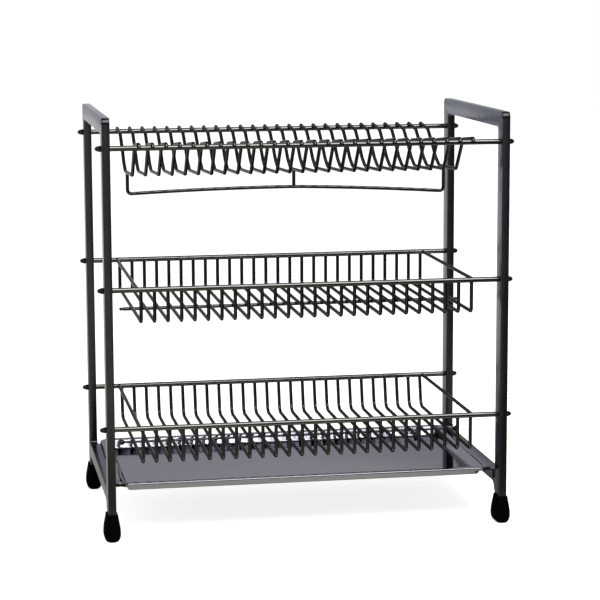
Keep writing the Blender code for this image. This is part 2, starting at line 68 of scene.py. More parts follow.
def node_middle(node):
    """The middle of a node's box."""
    low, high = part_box(node)
    return (Vector(low) + Vector(high)) / 2


def node_size(node):
    """The lengths of a node's box along X, Y and Z."""
    low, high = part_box(node)
    return Vector(high) - Vector(low)


# Places and sizes read from the frame
RODS = {(tier, row): node_middle("rod_" + tier + "_" + row) for tier in TIERS for row in ROWS}
ROD_TIP_X = node_size("rod_top_front").x / 2
ROD_RADIUS = node_size("rod_top_front").z / 2
FRAME_LOW, FRAME_HIGH = (Vector(corner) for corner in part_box("side_frame_right"))
TUBE_WIDTH = FRAME_HIGH.x - FRAME_LOW.x
FRAME_CENTRE_X = (FRAME_HIGH.x + FRAME_LOW.x) / 2
WIRE_RADIUS = node_size(TOP_WIRES[0]).x / 2
END_WIRE_X = node_middle(TOP_WIRES[-1]).x
WIRE_PITCH = END_WIRE_X * 2 / (len(TOP_WIRES) - 1)

# Clearance between pieces that are welded, pushed on or slide in the real rack
JOINT_GAP = 0.0003

# Rounded edges of the tubes, and the distance within which their skins are joined
EDGE_STEPS = 2
MERGE_DISTANCE = 0.00001

# Side frames
LEG_DEPTH = 0.027
TOP_BAR_HEIGHT = 0.024
OUTER_CORNER = 0.008
OUTER_CORNER_STEPS = 10
INNER_CORNER = 0.005
INNER_CORNER_STEPS = 8
LEG_INNER_Y = FRAME_HIGH.y - LEG_DEPTH

# How far the painted shade at the top bends reaches in from the frame's outer faces
BEND_SHADE_REACH = 0.010

# Lower crossbars with their weld gussets
LOWER_BAR_HEIGHT = 0.020
LOWER_BAR_EDGE_SHARE = 0.7
FRONT_GUSSET = 0.013
REAR_GUSSET = 0.016
GUSSET_STEPS = 9
TOP_GUSSET = 0.006
TOP_GUSSET_STEPS = 6
GUSSET_LIP = 0.001

# Angles that carry the tray
RUNNER_LEDGE = 0.009
RUNNER_FLANGE = 0.014
RUNNER_SHEET = 0.0015
RUNNER_SETBACK = 0.006
RUNNER_SINK = 0.0004

# Rods: shares of the radius at the stud's tip, the stud's root and the shoulder's rim
STUD_TIP_SHARE = 0.60
STUD_ROOT_SHARE = 0.66
SHOULDER_RIM_SHARE = 0.86
SHOULDER_CHAMFER = 0.0005
ROD_EXTRA_SIDES = 8

# Cap nuts: share of the length, most share of the radius there, and whether the flats show
NUT_LEVELS = (
    (0.0, 0.93, True),
    (0.03, 1.0, True),
    (0.36, 1.0, True),
    (0.43, 0.94, True),
    (0.46, 0.86, False),
    (0.60, 0.84, False),
    (0.72, 0.76, False),
    (0.83, 0.62, False),
    (0.91, 0.44, False),
    (0.97, 0.24, False),
    (0.995, 0.08, False),
)
NUT_FLATS = 6
NUT_STEPS = 36

# Top wires: share of the way from the rear rod to the front one, share of the drop, bend radius
TOP_DROP = 0.053
TOP_PATH = (
    (0.148, 0.02, 0.008),
    (0.250, 0.47, 0.022),
    (0.305, 0.77, 0.028),
    (0.380, 1.00, 0.036),
    (0.706, 0.915, 0.006),
    (0.806, 0.17, 0.004),
    (0.827, 0.00, 0.004),
)
TOP_FLOOR = TOP_PATH[3:5]
HOOK_BEND_SHARE = 0.98

# Wires of the lower tiers: drop, lean of the rear leg forward and radius of the rear bend
WIRE_BEND = 0.0055
CRADLES = {
    "middle": (0.048, 0.0, WIRE_BEND),
    "bottom": (0.051, 0.011, 0.014),
}
BEND_STEPS = 8
ROUND_SIDES = 16

# Wires along the lower tiers: wire radius, overhang past the end wires, bulb radius and bulb length
KEELS = {
    "middle": (0.0028, 0.018, 0.0027, 0.006),
    "bottom": (WIRE_RADIUS, 0.022, 0.0044, 0.011),
}
KEEL_SINK = 0.0010
KEEL_Y = -0.010

# A bulb swells as a sine that starts part of the way up and leans to the tip.
# The plain wire follows just past it, at BULB_NECK of its length.
BULB_START = 0.10
BULB_LEAN = 0.85
BULB_LEAST_RADIUS = 0.0006
BULB_NECK = 1.15
BULB_STEPS = 14

# Hanging rail
RAIL_Y = node_middle("hanging_rail").y
RAIL_END_DROP = 0.032
RAIL_BOW = 0.006
RAIL_RIGHT_SAG = 0.006
RAIL_BEND = 0.006
RAIL_STEPS = 24
HANGER_WIRE = 13

# Boots: share of the height, and share of the bulge from the plain wall to the fullest width
BOOT_LEVELS = (
    (0.0, -0.75),
    (0.015, -0.28),
    (0.045, 0.16),
    (0.09, 0.52),
    (0.16, 0.83),
    (0.24, 0.97),
    (0.32, 1.0),
    (0.42, 0.955),
    (0.52, 0.85),
    (0.64, 0.66),
    (0.76, 0.42),
    (0.88, 0.20),
    (0.96, 0.08),
    (0.99, 0.02),
    (1.0, -0.08),
)
BOOT_WALL = 0.0023
BOOT_CORNER_SHARE = 0.74
BOOT_CORNER_STEPS = 7
BOOT_RIM_DEPTH = 0.003
BOOT_MOUTH_CORNER = 0.0015

# Tray
TRAY_SHEET = 0.0008
TRAY_LIP = 0.005
TRAY_FLANGE = 0.012
TRAY_PAN = 0.014
TRAY_WALL_RUN = 0.007
TRAY_CORNER = 0.020
TRAY_CORNER_STEPS = 12
TRAY_FOLD = 0.0015
TRAY_FOLD_STEPS = 4
LOWER_BAR_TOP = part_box("drip_tray")[1][2] - TRAY_LIP - JOINT_GAP

# The pan's bends at the top and the foot of its wall: run and rise as shares of the fold's radius
TRAY_TOP_BEND = ((-1.2, 0.0), (-0.4, -0.15), (0.15, -0.6), (0.6, -1.4))
TRAY_FOOT_BEND = ((-0.5, 1.6), (0.0, 0.7), (0.7, 0.2), (2.0, 0.0))

# Studio floor, and each lamp's place, width, length and the setting that holds its power
FLOOR_REACH = 9.0
LAMP_AIM = (0.0, 0.0, 0.3)
LAMPS = {
    "key_lamp": ((0.35, -1.9, 2.3), 2.2, 1.2, "key_power"),
    "fill_lamp": ((-2.2, 0.3, 1.3), 0.9, 1.3, "fill_power"),
    "overhead_strip": ((0.35, -1.05, 2.6), 2.2, 0.9, "strip_power"),
}

# Camera, found from the picture's own rods, legs and feet
CAMERA_PLACE = Vector((-0.5579, -3.2256, 0.8351))
CAMERA_AIM = Vector((0.1734, 0.9729, -0.1532))
CAMERA_RIGHT = Vector((0.9844, -0.1760, -0.0041))
FOCAL_PIXELS = 2112.7
PICTURE_PIXELS = 600
SENSOR_WIDTH = 36.0


def colour_setting(name, description, default):
    """A colour that a user may change."""
    return bpy.props.FloatVectorProperty(
        name=name,
        description=description,
        default=default,
        subtype="COLOR",
        size=3,
    )


def power_setting(name, description, default):
    """A lamp's power that a user may change."""
    return bpy.props.FloatProperty(name=name, description=description, default=default, unit="POWER")


def brightness_setting(name, description, default):
    """A brightness that a user may change."""
    return bpy.props.FloatProperty(name=name, description=description, default=default, min=0.0)


class RackSizes(bpy.types.PropertyGroup):
    """Sizes of the dressing that a user may change."""

    edge_radius: bpy.props.FloatProperty(
        name="Tube edge radius",
        description="Radius of the rounded edges along the frame tubes",
        default=0.0012,
        unit="LENGTH",
    )
    round_sides: bpy.props.IntProperty(
        name="Sides of a round bar",
        description="How many flats the rods and wires are drawn with",
        default=ROUND_SIDES,
        min=6,
    )
    nut_radius: bpy.props.FloatProperty(
        name="Cap nut radius",
        description="Corner radius of the six-sided foot of a cap nut",
        default=0.0045,
        unit="LENGTH",
    )
    bold_wire: bpy.props.FloatProperty(
        name="Wire boldness",
        description="How much thicker the bent wires are drawn than the packed model has them",
        default=1.45,
        min=1.0,
    )


class RackColours(bpy.types.PropertyGroup):
    """Colours that a user may change."""

    frame: colour_setting("Frame steel", "Colour of the tube frames' steel", (0.115, 0.120, 0.134))
    rod: colour_setting("Rod steel", "Colour of the long rods' plating", (0.125, 0.125, 0.123))
    wire: colour_setting("Wire steel", "Colour of the bent wires' plating", (0.074, 0.073, 0.080))
    tray: colour_setting("Tray steel", "Colour of the pressed tray", (0.264, 0.266, 0.306))
    rubber: colour_setting("Boot rubber", "Colour of the moulded boots", (0.0012, 0.0012, 0.0012))


class StageSettings(bpy.types.PropertyGroup):
    """Light and paper of the plain studio round the rack."""

    key_power: power_setting("Key lamp", "Power of the large soft lamp above the front right", 46.0)
    fill_power: power_setting("Fill lamp", "Power of the soft lamp at the left", 8.0)
    strip_power: power_setting(
        "Overhead strip",
        "Power of the long lamp over the rack, which draws the lines on the rods",
        26.0,
    )
    sky: brightness_setting("Room light", "Strength of the light that comes evenly from all round", 0.55)
    behind: brightness_setting(
        "Room behind the camera",
        "How bright metal shows the unlit half of the room behind the camera",
        0.20,
    )
    right_side: brightness_setting(
        "Room to the right",
        "How bright metal shows the backdrop's right end, as a share of its middle",
        0.55,
    )
    floor_lift: brightness_setting(
        "Paper brightness",
        "Light added to the paper floor where it is seen, so that it is white away from shadows",
        0.76,
    )


class Number:
    """A value in a material's tree. Sums on it add Math nodes."""

    def __init__(self, tree, socket):
        self.tree = tree
        self.socket = socket

    def work_out(self, operation, first, second):
        """One Math node on two values."""
        return self.tree.add("ShaderNodeMath", {0: first, 1: second}, operation=operation)

    def __add__(self, other):
        return self.work_out("ADD", self, other)

    def __radd__(self, other):
        return self.work_out("ADD", other, self)

    def __sub__(self, other):
        return self.work_out("SUBTRACT", self, other)

    def __rsub__(self, other):
        return self.work_out("SUBTRACT", other, self)

    def __mul__(self, other):
        return self.work_out("MULTIPLY", self, other)

    def __rmul__(self, other):
        return self.work_out("MULTIPLY", other, self)

    def larger(self, other):
        """The larger of two values."""
        return self.work_out("MAXIMUM", self, other)

    def absolute(self):
        """The value without its sign."""
        return self.work_out("ABSOLUTE", self, 0.0)

    def limited(self):
        """The value kept between 0 and 1."""
        return self.tree.add("ShaderNodeClamp", {0: self})

    def mask(self, steepness):
        """1 where the value is above 0 and 0 where it is below, with a soft edge between."""
        return (self * steepness + 0.5).limited()


class FinishTree:
    """The node tree of one finish."""

    def __init__(self, owner):
        owner.use_nodes = True
        self.nodes = owner.node_tree.nodes
        self.links = owner.node_tree.links
        self.nodes.clear()

    def add(self, kind, inputs=None, output=0, **settings):
        """A node with its settings made first and then its sockets, given as values or as links."""
        node = self.nodes.new(kind)
        for key, value in settings.items():
            setattr(node, key, value)
        for key, value in (inputs or {}).items():
            socket = self.find(node.inputs, key)
            if isinstance(value, Number):
                self.links.new(value.socket, socket)
            else:
                socket.default_value = value
        return Number(self, self.find(node.outputs, output)) if node.outputs else None

    @staticmethod
    def find(sockets, key):
        """A socket by its number, or the first live one of that name."""
        if isinstance(key, int):
            return sockets[key]
        return next(socket for socket in sockets if socket.name == key and socket.enabled)

    def places(self, scale=(1.0, 1.0, 1.0)):
        """The piece's own coordinates, stretched."""
        coordinates = self.add("ShaderNodeTexCoord", output="Object")
        return self.add("ShaderNodeMapping", {"Vector": coordinates, "Scale": scale})

    def place_along(self, axis):
        """One of the piece's own coordinates."""
        return self.add("ShaderNodeSeparateXYZ", {0: self.places()}, axis)

    def noise(self, vector, scale=1.0, detail=2.0, roughness=0.5):
        """A cloud pattern between 0 and 1."""
        inputs = {"Vector": vector, "Scale": scale, "Detail": detail, "Roughness": roughness}
        return self.add("ShaderNodeTexNoise", inputs, "Fac")

    def blend(self, share, first, second):
        """A colour between two colours."""
        inputs = {"Factor": share, "A": self.colour(first), "B": self.colour(second)}
        return self.add("ShaderNodeMix", inputs, "Result", data_type="RGBA")

    @staticmethod
    def colour(value):
        """A colour as the sockets want it."""
        return value if isinstance(value, Number) else (*value, 1.0)

    def spread(self, value, low=0.0, high=1.0, start=0.0, end=1.0, soft=False):
        """A value that goes from start to end taken to go from low to high, and no further."""
        ramp = "SMOOTHSTEP" if soft else "LINEAR"
        inputs = {"Value": value, "From Min": start, "From Max": end, "To Min": low, "To Max": high}
        return self.add("ShaderNodeMapRange", inputs, interpolation_type=ramp)

    def bump(self, height, strength, distance):
        """A normal that follows a height."""
        inputs = {"Height": height, "Strength": strength, "Distance": distance}
        return self.add("ShaderNodeBump", inputs)

    def surface(self, inputs):
        """The finish's shader, at the tree's output."""
        shader = self.add("ShaderNodeBsdfPrincipled", inputs)
        self.add("ShaderNodeOutputMaterial", {"Surface": shader})


def chosen_colour(name):
    """One of the rack's colours, as it is set now."""
    return tuple(getattr(bpy.context.scene.rack_colours, name))


def shade(colour, factor):
    """A colour made lighter or darker."""
    return tuple(channel * factor for channel in colour)


def new_finish(name):
    """A material and its empty tree, or None for the tree where the material is made already."""
    made = bpy.data.materials.get(name)
    if made:
        return made, None
    material = bpy.data.materials.new(name)
    return material, FinishTree(material)


def frame_finish():
    """Polished tube with faint lines along each run, and painted shade that darkens it at the top bends
    and near the floor.
    """
    material, tree = new_finish("frame_polish")
    if not tree:
        return material
    colour = chosen_colour("frame")
    height = tree.place_along("Z")
    across = tree.place_along("Y").absolute()
    from_top = FRAME_HIGH.z - height
    from_side = FRAME_HIGH.y - across
    in_top_bar = (from_side - from_top).mask(steepness=160.0)
    in_lower_bar = (LEG_INNER_Y - across).mask(steepness=900.0)
    # Painted shade at the top bends, which dims the lamps' glint there
    bend_shade = (BEND_SHADE_REACH - from_top.larger(from_side)).mask(steepness=400.0)
    runs_level = in_top_bar.larger(in_lower_bar)
    # Lines to the metre, across a run and along it
    across_run, along_run = 520.0, 3.0
    upright = tree.noise(tree.places((across_run, across_run, along_run)), detail=3.0)
    level = tree.noise(tree.places((across_run, along_run, across_run)), detail=3.0)
    lines = upright * (1.0 - runs_level) + level * runs_level
    clouds = tree.noise(tree.places(), scale=14.0, detail=3.0)
    worn = tree.noise(tree.places(), scale=160.0, detail=4.0, roughness=0.65)
    share = (lines * 0.55 + clouds * 0.45).limited()
    polish = tree.blend(share, shade(colour, 0.62), shade(colour, 1.42))
    # Painted shade: a darker copy of the colour, laid at the top bends and near the floor
    painted_shade_colour = tree.blend(share, shade(colour, 0.22), shade(colour, 0.50))
    # Painted shade: the frame grows darker towards the floor
    clear_of_floor_shade = tree.spread(height, start=0.06, end=0.22)
    tree.surface({
        "Base Color": tree.blend(clear_of_floor_shade * (1.0 - bend_shade * 0.9), painted_shade_colour, polish),
        "Metallic": 1.0,
        "Roughness": tree.spread(lines * 0.4 + worn * 0.6, 0.17, 0.36),
        "Specular Tint": (0.66, 0.675, 0.75, 1.0),
        "Normal": tree.bump(lines * 0.7 + worn * 0.3, strength=0.10, distance=0.0004),
    })
    return material


def plated_finish(name, colour, roughness):
    """Bright plating on round bar, with drawing lines along it and slightly clouded patches."""
    material, tree = new_finish(name)
    if not tree:
        return material
    clouds = tree.noise(tree.places(), scale=26.0, detail=3.0)
    lines = tree.noise(tree.places((30.0, 900.0, 900.0)))
    specks = tree.noise(tree.places(), scale=700.0)
    share = (clouds * 0.6 + lines * 0.4).limited()
    tree.surface({
        "Base Color": tree.blend(share, shade(colour, 0.60), shade(colour, 1.40)),
        "Metallic": 1.0,
        "Roughness": tree.spread(clouds * 0.5 + specks * 0.5, roughness * 0.7, roughness * 1.4),
        "Specular Tint": (0.35, 0.35, 0.35, 1.0),
        "Normal": tree.bump(lines * 0.5 + specks * 0.5, strength=0.06, distance=0.0002),
    })
    return material


def rod_finish():
    """The long rods' plating."""
    return plated_finish("rod_plating", chosen_colour("rod"), roughness=0.14)


def wire_finish():
    """The bent wires' plating."""
    return plated_finish("wire_plating", chosen_colour("wire"), roughness=0.20)


def nut_finish():
    """The cap nuts' plating, a little darker and duller than the wires'."""
    return plated_finish("nut_plating", shade(chosen_colour("wire"), 0.8), roughness=0.26)


def tray_finish():
    """Pressed sheet, nearly mirror bright, with rolling lines along it and faint wipe marks."""
    material, tree = new_finish("tray_sheet")
    if not tree:
        return material
    colour = chosen_colour("tray")
    lines = tree.noise(tree.places((2.0, 340.0, 340.0)), detail=3.0)
    clouds = tree.noise(tree.places((1.0, 2.4, 1.0)), scale=7.0, detail=4.0, roughness=0.6)
    wipes = tree.noise(tree.places((9.0, 3.0, 3.0)), scale=5.0, detail=5.0, roughness=0.7)
    share = (lines * 0.25 + clouds * 0.75).limited()
    tree.surface({
        "Base Color": tree.blend(share, shade(colour, 0.78), shade(colour, 1.22)),
        "Metallic": 1.0,
        "Roughness": tree.spread(wipes * 0.7 + lines * 0.3, 0.04, 0.11),
        "Specular Tint": (0.46, 0.455, 0.48, 1.0),
        "Normal": tree.bump(lines * 0.3 + clouds * 0.7, strength=0.09, distance=0.0010),
    })
    return material


def rubber_finish():
    """Matte black moulded rubber with a fine grain and a dusty bloom."""
    material, tree = new_finish("boot_rubber")
    if not tree:
        return material
    colour = chosen_colour("rubber")
    grain = tree.noise(tree.places(), scale=1500.0, detail=3.0)
    bloom = tree.noise(tree.places(), scale=60.0, detail=4.0, roughness=0.6)
    tree.surface({
        "Base Color": tree.blend(bloom, shade(colour, 0.7), shade(colour, 1.9)),
        "Roughness": tree.spread(bloom * 0.5 + grain * 0.5, 0.62, 0.84),
        "Specular IOR Level": 0.05,
        "IOR": 1.15,
        "Normal": tree.bump(grain, strength=0.25, distance=0.0002),
    })
    return material


def put_in_place(name, mesh, replaced=(), body="rack"):
    """Show a finished piece, riding on its body and standing for the frame's nodes."""
    piece = bpy.data.objects.new(name, mesh)
    bpy.context.scene.collection.objects.link(piece)
    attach(piece, body)
    if replaced:
        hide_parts(*replaced)
    return piece


def smooth_with_creases(mesh, degrees=35.0):
    """Smooth shading that keeps the creases over the given angle."""
    mesh.shade_smooth()
    mesh.set_sharp_from_angle(angle=math.radians(degrees))


def arc(centre, radius, start, end, steps):
    """Points of an arc, from one angle in degrees to another."""
    points = []
    for step in range(steps + 1):
        angle = math.radians(start + (end - start) * step / steps)
        points.append((centre[0] + radius * math.cos(angle), centre[1] + radius * math.sin(angle)))
    return points


def loft(name, rings, close_first=True):
    """Skin from ring to ring, closed at the last one, and at the first unless it is left open."""
    mesh = bpy.data.meshes.new(name)
    solid = bmesh.new()
    loops = [[solid.verts.new(place) for place in ring] for ring in rings]
    for lower, upper in zip(loops, loops[1:]):
        for index in range(len(lower)):
            following = (index + 1) % len(lower)
            solid.faces.new((lower[index], lower[following], upper[following], upper[index]))
    if close_first:
        solid.faces.new(reversed(loops[0]))
    solid.faces.new(loops[-1])
    bmesh.ops.recalc_face_normals(solid, faces=solid.faces)
    solid.to_mesh(mesh)
    solid.free()
    return mesh


def turned(name, half, sides, y=0.0, z=0.0):
    """A round bar along X from its left half's stations, each given as a place and a radius."""
    axis = Vector((1, 0, 0))
    side = axis.orthogonal().normalized()
    other = axis.cross(side)
    rings = []
    for place, radius in half + [(-place, radius) for place, radius in reversed(half)]:
        ring = []
        for step in range(sides):
            angle = math.tau * step / sides
            spoke = side * math.cos(angle) + other * math.sin(angle)
            ring.append(Vector((place, y, z)) + spoke * radius)
        rings.append(ring)
    return loft(name, rings)


def join_meshes(name, meshes, finish):
    """Several meshes as one, in one finish."""
    joined = bpy.data.meshes.new(name)
    solid = bmesh.new()
    for mesh in meshes:
        solid.from_mesh(mesh)
    solid.to_mesh(joined)
    solid.free()
    for mesh in meshes:
        bpy.data.meshes.remove(mesh)
    joined.materials.append(finish)
    smooth_with_creases(joined)
    return joined


def rolled_outline(name, outline, thickness, edge, along):
    """A flat outline given a thickness along X or Y, with rounded edges."""
    curve = bpy.data.curves.new(name, "CURVE")
    curve.dimensions = "2D"
    curve.fill_mode = "BOTH"
    curve.extrude = thickness / 2 - edge
    curve.bevel_depth = edge
    curve.bevel_resolution = EDGE_STEPS
    spline = curve.splines.new("POLY")
    spline.points.add(len(outline) - 1)
    for point, place in zip(spline.points, outline):
        point.co = (place[0], place[1], 0, 1)
    spline.use_cyclic_u = True
    holder = bpy.data.objects.new(name, curve)
    bpy.context.scene.collection.objects.link(holder)
    bpy.context.view_layer.update()
    evaluated = holder.evaluated_get(bpy.context.evaluated_depsgraph_get())
    mesh = bpy.data.meshes.new_from_object(evaluated)
    bpy.data.objects.remove(holder, do_unlink=True)
    turn = Matrix.Rotation(math.pi / 2, 4, "X")
    if along == "X":
        turn = Matrix.Rotation(math.pi / 2, 4, "Z") @ turn
    mesh.transform(turn)
    solid = bmesh.new()
    solid.from_mesh(mesh)
    bmesh.ops.remove_doubles(solid, verts=solid.verts, dist=MERGE_DISTANCE)
    bmesh.ops.recalc_face_normals(solid, faces=solid.faces)
    solid.to_mesh(mesh)
    solid.free()
    return mesh


def new_tree(name, inputs):
    """An empty geometry tree with named inputs, each given as a name, a socket kind and a default."""
    tree = bpy.data.node_groups.new(name, "GeometryNodeTree")
    tree.interface.new_socket("Geometry", in_out="INPUT", socket_type="NodeSocketGeometry")
    for title, kind, default in inputs:
        socket = tree.interface.new_socket(title, in_out="INPUT", socket_type=kind)
        if default is not None:
            socket.default_value = default
    tree.interface.new_socket("Geometry", in_out="OUTPUT", socket_type="NodeSocketGeometry")
    return tree


def add_step(tree, kind, inputs=None, **settings):
    """A node of a geometry tree, as its outputs. Its inputs are values or other nodes' outputs."""
    step = tree.nodes.new(kind)
    for key, value in settings.items():
        setattr(step, key, value)
    for key, value in (inputs or {}).items():
        if isinstance(value, bpy.types.NodeSocket):
            tree.links.new(value, step.inputs[key])
        else:
            step.inputs[key].default_value = value
    return step.outputs


def close_tree(tree, geometry, material):
    """End a geometry tree with real geometry in its finish."""
    realised = add_step(tree, "GeometryNodeRealizeInstances", {"Geometry": geometry})
    inputs = {"Geometry": realised["Geometry"], "Material": material}
    coated = add_step(tree, "GeometryNodeSetMaterial", inputs)
    add_step(tree, "NodeGroupOutput", {"Geometry": coated["Geometry"]})


def wire_row_tree():
    """Bends a path of straight runs into round wire and repeats it along X."""
    made = bpy.data.node_groups.get("wire_row")
    if made:
        return made
    tree = new_tree("wire_row", (
        ("Count", "NodeSocketInt", 1),
        ("Pitch", "NodeSocketFloat", WIRE_PITCH),
        ("First place", "NodeSocketFloat", 0.0),
        ("Wire radius", "NodeSocketFloat", WIRE_RADIUS),
        ("Sides", "NodeSocketInt", ROUND_SIDES),
        ("Bend steps", "NodeSocketInt", BEND_STEPS),
        ("Material", "NodeSocketMaterial", None),
    ))
    given = add_step(tree, "NodeGroupInput")
    path = add_step(tree, "GeometryNodeMeshToCurve", {"Mesh": given["Geometry"]})
    bend = add_step(tree, "GeometryNodeInputNamedAttribute", {"Name": "bend"}, data_type="FLOAT")
    corners = {
        "Curve": path["Curve"],
        "Count": given["Bend steps"],
        "Radius": bend["Attribute"],
        "Limit Radius": True,
    }
    bent = add_step(tree, "GeometryNodeFilletCurve", corners, mode="POLY")
    circle = {"Resolution": given["Sides"], "Radius": given["Wire radius"]}
    section = add_step(tree, "GeometryNodeCurvePrimitiveCircle", circle, mode="RADIUS")
    sweep = {"Curve": bent["Curve"], "Profile Curve": section["Curve"], "Fill Caps": True}
    wire = add_step(tree, "GeometryNodeCurveToMesh", sweep)
    start = add_step(tree, "ShaderNodeCombineXYZ", {"X": given["First place"]})
    offset = add_step(tree, "ShaderNodeCombineXYZ", {"X": given["Pitch"]})
    line = {"Count": given["Count"], "Start Location": start["Vector"], "Offset": offset["Vector"]}
    row = add_step(tree, "GeometryNodeMeshLine", line, mode="OFFSET", count_mode="TOTAL")
    placed = {"Points": row["Mesh"], "Instance": wire["Mesh"]}
    wires = add_step(tree, "GeometryNodeInstanceOnPoints", placed)
    close_tree(tree, wires["Instances"], given["Material"])
    return tree


def copies_tree():
    """Puts a copy of one piece on each point, turned about Y by the point's own turn."""
    made = bpy.data.node_groups.get("copies_on_points")
    if made:
        return made
    tree = new_tree("copies_on_points", (
        ("Copy", "NodeSocketObject", None),
        ("Material", "NodeSocketMaterial", None),
    ))
    given = add_step(tree, "NodeGroupInput")
    source = add_step(tree, "GeometryNodeObjectInfo", {"Object": given["Copy"]})
    turn = add_step(tree, "GeometryNodeInputNamedAttribute", {"Name": "turn"}, data_type="FLOAT")
    rotation = add_step(tree, "ShaderNodeCombineXYZ", {"Y": turn["Attribute"]})
    placed = {
        "Points": given["Geometry"],
        "Instance": source["Geometry"],
        "Rotation": rotation["Vector"],
    }
    copies = add_step(tree, "GeometryNodeInstanceOnPoints", placed)
    close_tree(tree, copies["Instances"], given["Material"])
    return tree


def grow(name, host_mesh, tree, values):
    """Run a geometry tree on a mesh and keep what it makes as a plain mesh."""
    host = bpy.data.objects.new(name + "_host", host_mesh)
    bpy.context.scene.collection.objects.link(host)
    modifier = host.modifiers.new("grow", "NODES")
    modifier.node_group = tree
    for item in tree.interface.items_tree:
        if item.item_type == "SOCKET" and item.in_out == "INPUT" and item.name in values:
            modifier[item.identifier] = values[item.name]
    bpy.context.view_layer.update()
    evaluated = host.evaluated_get(bpy.context.evaluated_depsgraph_get())
    mesh = bpy.data.meshes.new_from_object(evaluated)
    bpy.data.objects.remove(host, do_unlink=True)
    mesh.name = name
    if not mesh.polygons:
        raise RuntimeError(name + " came out empty")
    smooth_with_creases(mesh)
    return mesh


def path_mesh(name, paths):
    """Paths of straight runs, each point given as a place and its bend radius."""
    places, edges, bends = [], [], []
    for path in paths:
        first = len(places)
        for place, bend in path:
            places.append(place)
            bends.append(bend)
        edges.extend((index, index + 1) for index in range(first, len(places) - 1))
    mesh = bpy.data.meshes.new(name + "_path")
    mesh.from_pydata(places, edges, [])
    mesh.attributes.new("bend", "FLOAT", "POINT").data.foreach_set("value", bends)
    return mesh


def wire_mesh(name, paths, count=1, first=0.0):
    """Round wire along bent paths, repeated along X."""
    values = {
        "Count": count,
        "Pitch": WIRE_PITCH,
        "First place": first,
        "Wire radius": WIRE_RADIUS * bpy.context.scene.rack_sizes.bold_wire,
        "Sides": bpy.context.scene.rack_sizes.round_sides,
        "Bend steps": BEND_STEPS,
        "Material": wire_finish(),
    }
    return grow(name, path_mesh(name, paths), wire_row_tree(), values)


def copied_mesh(name, source_mesh, points, finish, turns=None):
    """One copy of a mesh on each of the points, turned about Y where turns are given."""
    source = bpy.data.objects.new(name + "_source", source_mesh)
    bpy.context.scene.collection.objects.link(source)
    host = bpy.data.meshes.new(name + "_points")
    host.from_pydata(points, [], [])
    host.attributes.new("turn", "FLOAT", "POINT").data.foreach_set("value", turns or [0.0] * len(points))
    mesh = grow(name, host, copies_tree(), {"Copy": source, "Material": finish})
    bpy.data.objects.remove(source, do_unlink=True)
    return mesh


def frame_outline(edge):
    """The inverted U in Y and Z, drawn in by the width of its rounded edge."""
    outer_y = FRAME_HIGH.y - edge
    inner_y = LEG_INNER_Y + edge
    top = FRAME_HIGH.z - edge
    under = FRAME_HIGH.z - TOP_BAR_HEIGHT + edge
    end = FRAME_LOW.z + edge
    outer = OUTER_CORNER - edge
    inner = INNER_CORNER + edge
    outline = [(outer_y, end)]
    outline += arc((outer_y - outer, top - outer), outer, 0, 90, OUTER_CORNER_STEPS)
    outline += arc((outer - outer_y, top - outer), outer, 90, 180, OUTER_CORNER_STEPS)
    outline += [(-outer_y, end), (-inner_y, end)]
    outline += arc((inner - inner_y, under - inner), inner, 180, 90, INNER_CORNER_STEPS)
    outline += arc((inner_y - inner, under - inner), inner, 90, 0, INNER_CORNER_STEPS)
    outline.append((inner_y, end))
    return outline


def crossbar_outline(edge):
    """A lower crossbar with its gussets in Y and Z, drawn in by its rounded edge."""
    end = LEG_INNER_Y - edge
    top = LOWER_BAR_TOP - edge
    under = LOWER_BAR_TOP - LOWER_BAR_HEIGHT + edge
    front = -end + GUSSET_LIP
    rear = end - GUSSET_LIP
    outline = [(-end, top), (-end, under - FRONT_GUSSET)]
    outline += arc((front + FRONT_GUSSET, under - FRONT_GUSSET), FRONT_GUSSET, 180, 90, GUSSET_STEPS)
    outline += arc((rear - REAR_GUSSET, under - REAR_GUSSET), REAR_GUSSET, 90, 0, GUSSET_STEPS)
    outline += [(end, under - REAR_GUSSET), (end, top + TOP_GUSSET)]
    outline += arc((rear - TOP_GUSSET, top + TOP_GUSSET), TOP_GUSSET, 0, -90, TOP_GUSSET_STEPS)
    return outline


def rounded_ring(half_x, half_y, radius, height, steps):
    """A level ring round a rectangle with round corners."""
    ring = []
    for quarter, (side_x, side_y) in enumerate(((1, 1), (-1, 1), (-1, -1), (1, -1))):
        centre = (side_x * (half_x - radius), side_y * (half_y - radius))
        start = 90 * quarter
        ring.extend((x, y, height) for x, y in arc(centre, radius, start, start + 90, steps))
    return ring


def cap_nut_mesh():
    """A six-sided nut with a dome, standing on its seat along Z."""
    length = node_size("cap_nut_top_front_right").x
    corner = bpy.context.scene.rack_sizes.nut_radius
    flat = math.tau / NUT_FLATS
    rings = []
    for along, most, flats in NUT_LEVELS:
        ring = []
        for step in range(NUT_STEPS):
            angle = math.tau * step / NUT_STEPS
            across = math.cos(flat / 2) / math.cos(angle % flat - flat / 2)
            radius = corner * (min(across, most) if flats else most)
            ring.append((radius * math.cos(angle), radius * math.sin(angle), length * along))
        rings.append(ring)
    return loft("cap_nut", rings)


def boot_mesh():
    """A rubber boot: a bulb outside, with a rim that turns in to the tube."""
    size = node_size("foot_front_left")
    least_x = TUBE_WIDTH / 2 + BOOT_WALL
    least_y = LEG_DEPTH / 2 + BOOT_WALL
    rings = []
    for height, bulge in BOOT_LEVELS:
        half_x = least_x + (size.x / 2 - least_x) * bulge
        half_y = least_y + (size.y / 2 - least_y) * bulge
        corner = half_x * BOOT_CORNER_SHARE
        rings.append(rounded_ring(half_x, half_y, corner, size.z * height, BOOT_CORNER_STEPS))
    mouth_x = TUBE_WIDTH / 2 + JOINT_GAP
    mouth_y = LEG_DEPTH / 2 + JOINT_GAP
    for height in (size.z, size.z - BOOT_RIM_DEPTH):
        rings.append(rounded_ring(mouth_x, mouth_y, BOOT_MOUTH_CORNER, height, BOOT_CORNER_STEPS))
    return loft("boot", rings)


